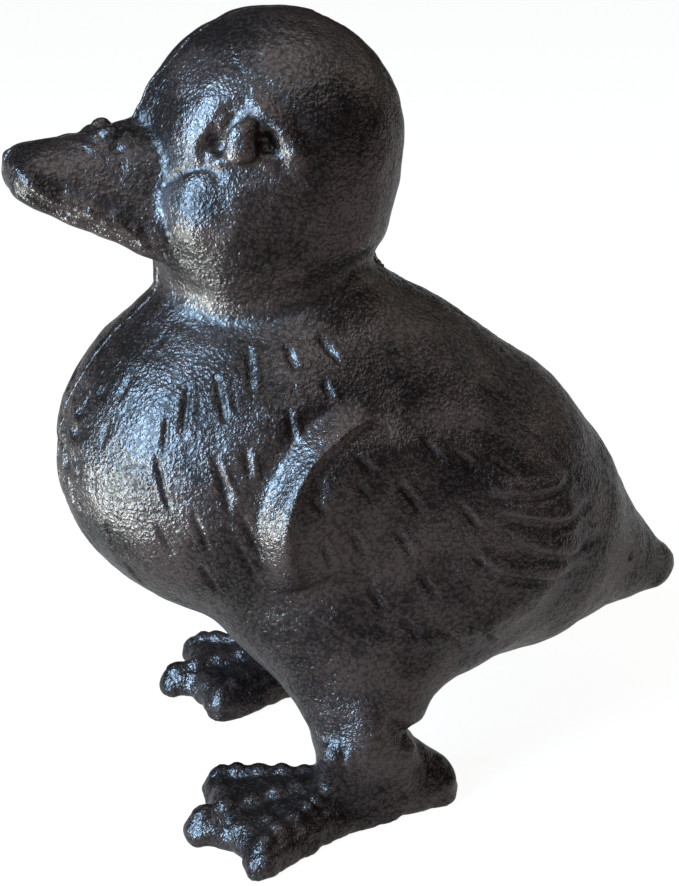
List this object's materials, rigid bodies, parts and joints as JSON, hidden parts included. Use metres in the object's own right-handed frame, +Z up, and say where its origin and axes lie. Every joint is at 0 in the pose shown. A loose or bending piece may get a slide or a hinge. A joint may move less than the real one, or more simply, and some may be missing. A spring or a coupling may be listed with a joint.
{
  "type": "duck figurine",
  "caption": "Small hollow cast iron duckling standing on flat webbed feet, cast in halves that a slotted screw holds together; a shelf ornament or paperweight.",
  "frame": {"origin": "on the ground, under the middle of the duck's bounding box", "axes": "+Z up; the bill points to -Y; the duck's own left side is +X"},
  "size_m": [0.073, 0.1098, 0.1199],
  "materials": {
    "lacquered_iron": "sand cast, dark brown-black lacquer, half gloss",
    "screw_steel": "blackened steel"
  },
  "bodies": {
    "root": {"left_half": "lacquered_iron", "right_half": "lacquered_iron", "joining_screw": "screw_steel"}
  },
  "joints": []
}
